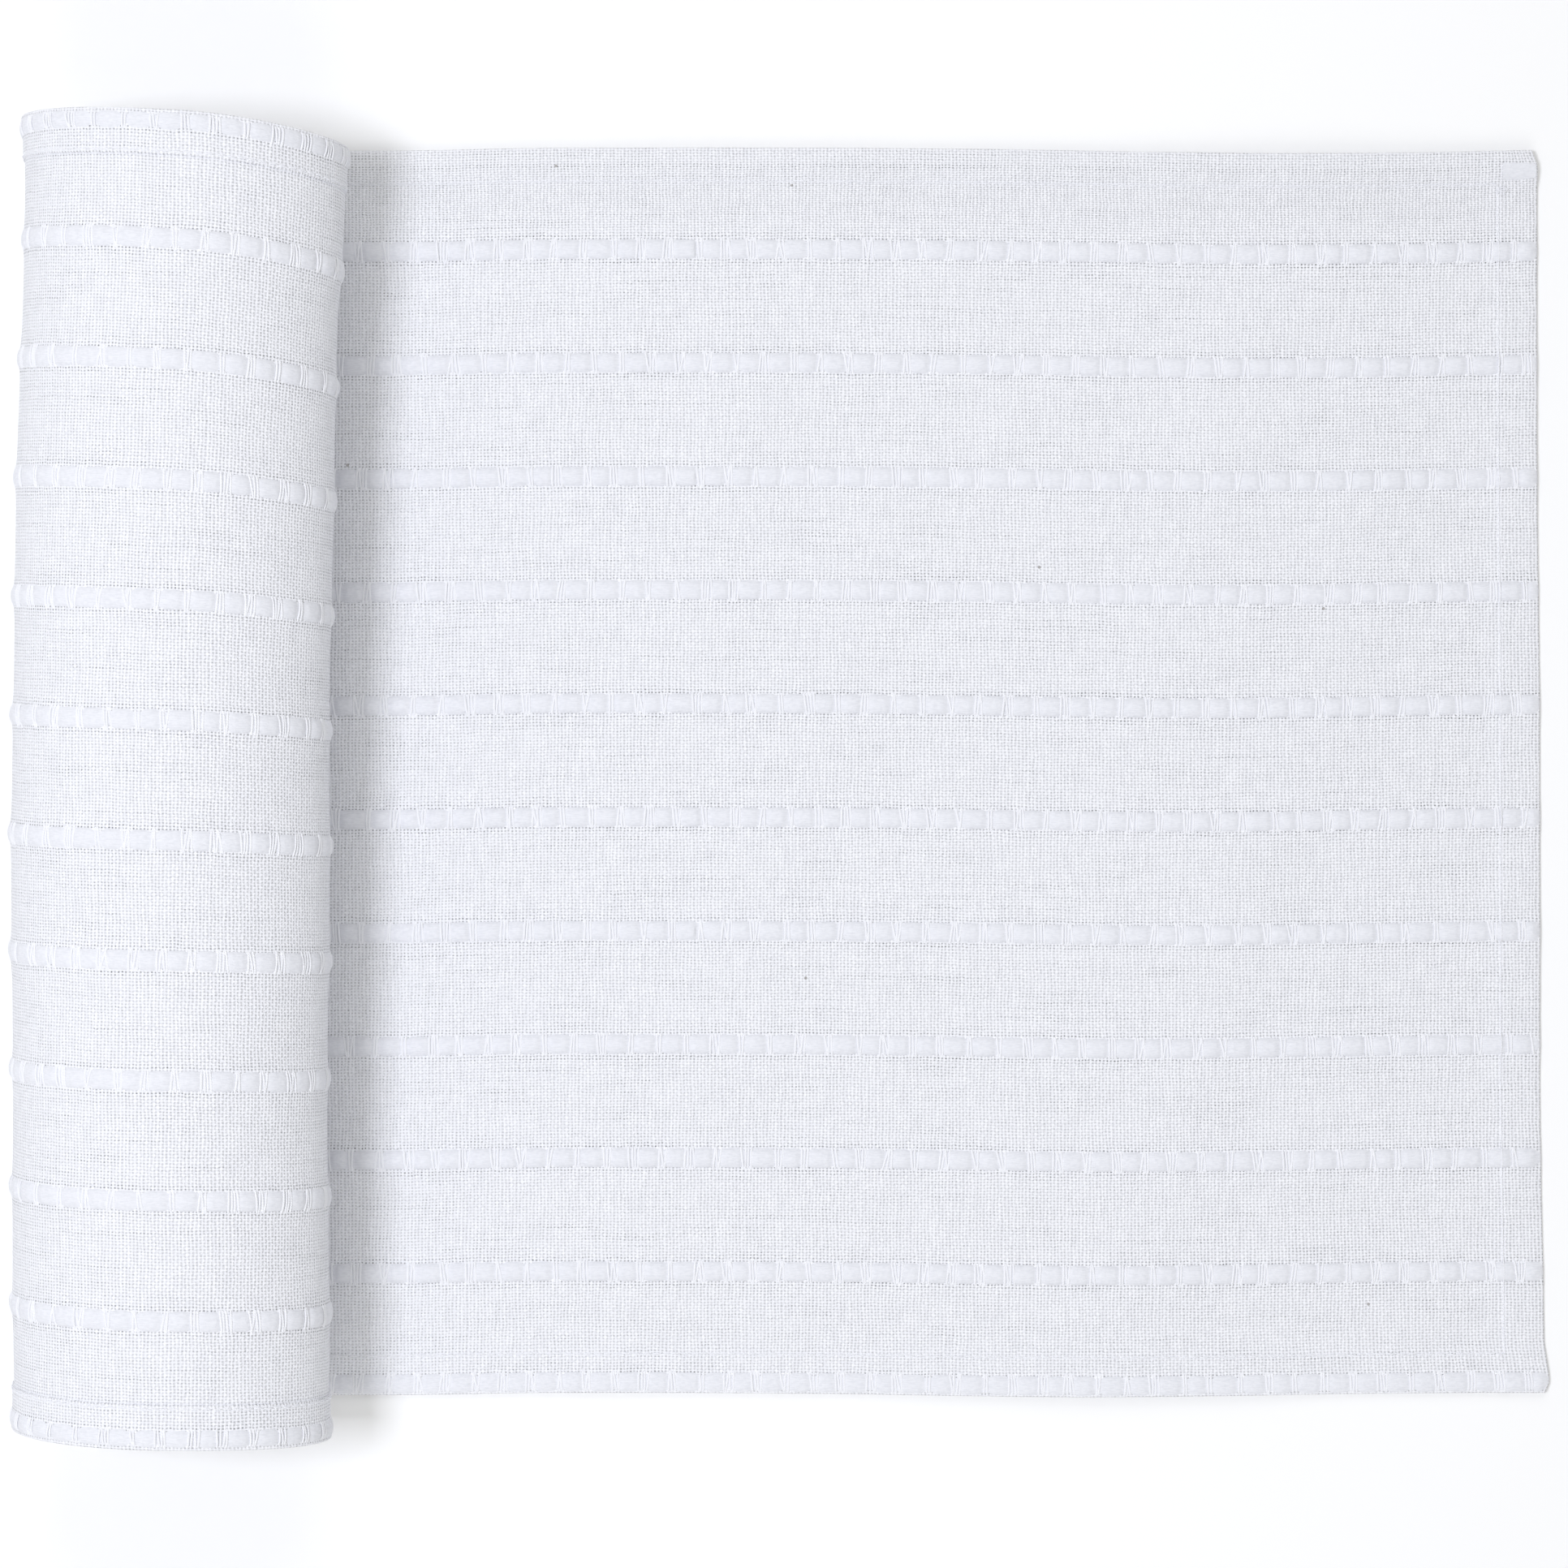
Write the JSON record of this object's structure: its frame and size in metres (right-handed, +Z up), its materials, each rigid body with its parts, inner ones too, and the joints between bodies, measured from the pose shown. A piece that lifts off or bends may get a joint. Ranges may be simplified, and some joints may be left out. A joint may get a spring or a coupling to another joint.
{
  "type": "table runner",
  "caption": "Woven cotton table runner with thick roving yarns along its length, hemmed all round, partly rolled up with its free end laid flat.",
  "frame": {"origin": "centre of the whole object's footprint, on the surface that it lies on", "axes": "+X along the length towards the free end, +Y across the width, +Z up"},
  "size_m": [0.4312, 0.3616, 0.0639],
  "materials": {
    "ground_cloth": "matte open plain-weave cotton, slightly cool white",
    "roving_yarn": "soft lofty cotton roving, matte white",
    "sewing_thread": "fine twisted cotton thread, white"
  },
  "bodies": {
    "roll": {"cloth_roll": "ground_cloth", "yarn_01_roll": "roving_yarn", "yarn_02_roll": "roving_yarn", "yarn_03_roll": "roving_yarn", "yarn_04_roll": "roving_yarn", "yarn_05_roll": "roving_yarn", "yarn_06_roll": "roving_yarn", "yarn_07_roll": "roving_yarn", "yarn_08_roll": "roving_yarn", "yarn_09_roll": "roving_yarn", "yarn_10_roll": "roving_yarn", "yarn_11_roll": "roving_yarn", "yarn_12_roll": "roving_yarn", "side_hem_thread_front_roll": "sewing_thread", "side_hem_thread_back_roll": "sewing_thread", "end_hem_thread_inner": "sewing_thread"},
    "near_panel": {"cloth_near": "ground_cloth", "yarn_01_near": "roving_yarn", "yarn_02_near": "roving_yarn", "yarn_03_near": "roving_yarn", "yarn_04_near": "roving_yarn", "yarn_05_near": "roving_yarn", "yarn_06_near": "roving_yarn", "yarn_07_near": "roving_yarn", "yarn_08_near": "roving_yarn", "yarn_09_near": "roving_yarn", "yarn_10_near": "roving_yarn", "yarn_11_near": "roving_yarn", "yarn_12_near": "roving_yarn", "side_hem_thread_front_near": "sewing_thread", "side_hem_thread_back_near": "sewing_thread"},
    "end_panel": {"cloth_end": "ground_cloth", "yarn_01_end": "roving_yarn", "yarn_02_end": "roving_yarn", "yarn_03_end": "roving_yarn", "yarn_04_end": "roving_yarn", "yarn_05_end": "roving_yarn", "yarn_06_end": "roving_yarn", "yarn_07_end": "roving_yarn", "yarn_08_end": "roving_yarn", "yarn_09_end": "roving_yarn", "yarn_10_end": "roving_yarn", "yarn_11_end": "roving_yarn", "yarn_12_end": "roving_yarn", "side_hem_thread_front_end": "sewing_thread", "side_hem_thread_back_end": "sewing_thread", "end_hem_thread_outer": "sewing_thread"}
  },
  "joints": [
    {"name": "lift_bend", "type": "hinge", "parent": "roll", "child": "near_panel", "pos_m": [-0.10651, 0, 0.0009], "axis": [0, -1, 0], "range_deg": [-90, 90]},
    {"name": "drape_bend", "type": "hinge", "parent": "near_panel", "child": "end_panel", "pos_m": [0.05565, 0, 0.0009], "axis": [0, -1, 0], "range_deg": [-90, 90]}
  ]
}
